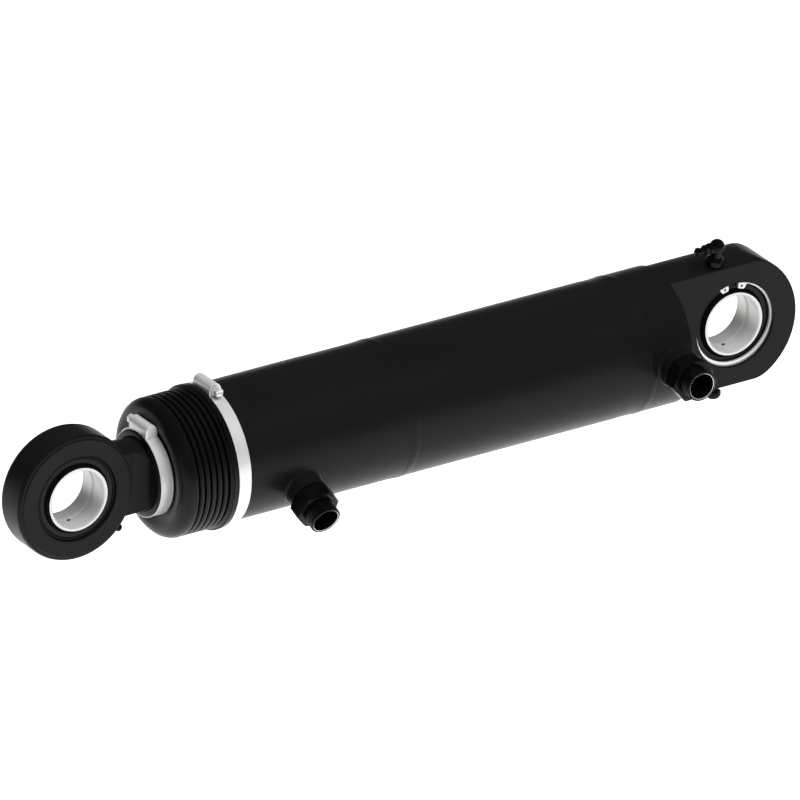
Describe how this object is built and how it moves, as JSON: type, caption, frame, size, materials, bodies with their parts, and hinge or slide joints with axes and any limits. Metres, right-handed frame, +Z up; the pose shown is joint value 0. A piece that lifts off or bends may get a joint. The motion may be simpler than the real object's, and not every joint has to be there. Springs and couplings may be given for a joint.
{
  "type": "telescopic hydraulic cylinder",
  "caption": "Double-acting telescopic hydraulic cylinder with a rubber bellows boot, worm-drive clamps, two side ports and a spherical-bearing eye at each end; stage and rod slide out together.",
  "frame": {"origin": "centre of the base eye's spherical bearing, where the base pin's axis crosses the cylinder's axis", "axes": "the cylinder's axis is X with the rod end at -X; both pins lie along Y; the ports leave towards -Y; +Z is up"},
  "size_m": [0.7504, 0.1602, 0.1462],
  "materials": {
    "black_paint": "satin black paint on machined steel",
    "black_zinc": "glossy black zinc plating",
    "boot_rubber": "matt black moulded rubber",
    "zinc_plate": "bright zinc-plated steel strip",
    "bearing_steel": "ground and polished bearing steel",
    "dark_steel": "phosphated dark steel",
    "hard_chrome": "ground hard chrome",
    "seal_polymer": "matt dark blue polyurethane",
    "bronze_guide": "bronze-filled guide strip",
    "iron_casting": "machined ductile iron"
  },
  "bodies": {
    "barrel": {"barrel_tube": "black_paint", "barrel_head": "black_paint", "rear_weld_bead": "black_paint", "front_weld_bead": "black_paint", "gland": "iron_casting", "gland_o_ring": "boot_rubber", "gland_rod_seal": "seal_polymer", "gland_wear_ring": "bronze_guide", "gland_wiper": "seal_polymer", "base_eye": "black_paint", "base_bearing_outer_ring": "dark_steel", "base_bearing_front_seal": "boot_rubber", "base_bearing_back_seal": "boot_rubber", "base_circlip": "zinc_plate", "base_grease_elbow": "black_zinc", "base_grease_nipple": "black_zinc", "base_grease_plug": "black_zinc", "front_port_boss": "black_paint", "front_port_seal": "dark_steel", "front_port_adapter": "black_zinc", "rear_port_boss": "black_paint", "rear_port_seal": "dark_steel", "rear_port_adapter": "black_zinc", "bellows_boot": "boot_rubber", "barrel_clamp_band": "zinc_plate", "barrel_clamp_housing": "zinc_plate", "barrel_clamp_screw": "zinc_plate"},
    "stage_1": {"stage_1_tube": "hard_chrome", "stage_1_wear_ring": "bronze_guide", "stage_1_piston_seal": "seal_polymer", "stage_1_gland": "iron_casting", "stage_1_gland_wiper": "seal_polymer", "stage_1_gland_seal": "seal_polymer", "stage_1_gland_bush": "bronze_guide"},
    "rod": {"rod": "hard_chrome", "rod_piston": "iron_casting", "rod_piston_wear_ring": "bronze_guide", "rod_piston_seal": "seal_polymer", "piston_nut": "dark_steel", "rod_eye": "black_paint", "rod_bearing_outer_ring": "dark_steel", "rod_bearing_front_seal": "boot_rubber", "rod_bearing_back_seal": "boot_rubber", "rod_grease_nipple": "black_zinc", "rod_clamp_band": "zinc_plate", "rod_clamp_housing": "zinc_plate", "rod_clamp_screw": "zinc_plate"},
    "base_ball": {"base_bearing_ball": "bearing_steel"},
    "rod_ball": {"rod_bearing_ball": "bearing_steel"}
  },
  "joints": [
    {"name": "rod_extension", "type": "slide", "parent": "barrel", "child": "rod", "axis": [-1, 0, 0], "range_m": [0, 0.2], "deforming": ["bellows_boot"]},
    {"name": "stage_extension", "type": "slide", "parent": "barrel", "child": "stage_1", "axis": [-1, 0, 0], "range_m": [0, 0.1]},
    {"name": "base_ball_swivel", "type": "hinge", "parent": "barrel", "child": "base_ball", "pos_m": [0, 0, 0], "axis": [0, 1, 0], "continuous": true},
    {"name": "rod_ball_swivel", "type": "hinge", "parent": "rod", "child": "rod_ball", "pos_m": [-0.6354, 0, 0], "axis": [0, 1, 0], "continuous": true}
  ],
  "couplings": [
    {"joint": "stage_extension", "follows": "rod_extension", "ratio": 0.5}
  ]
}
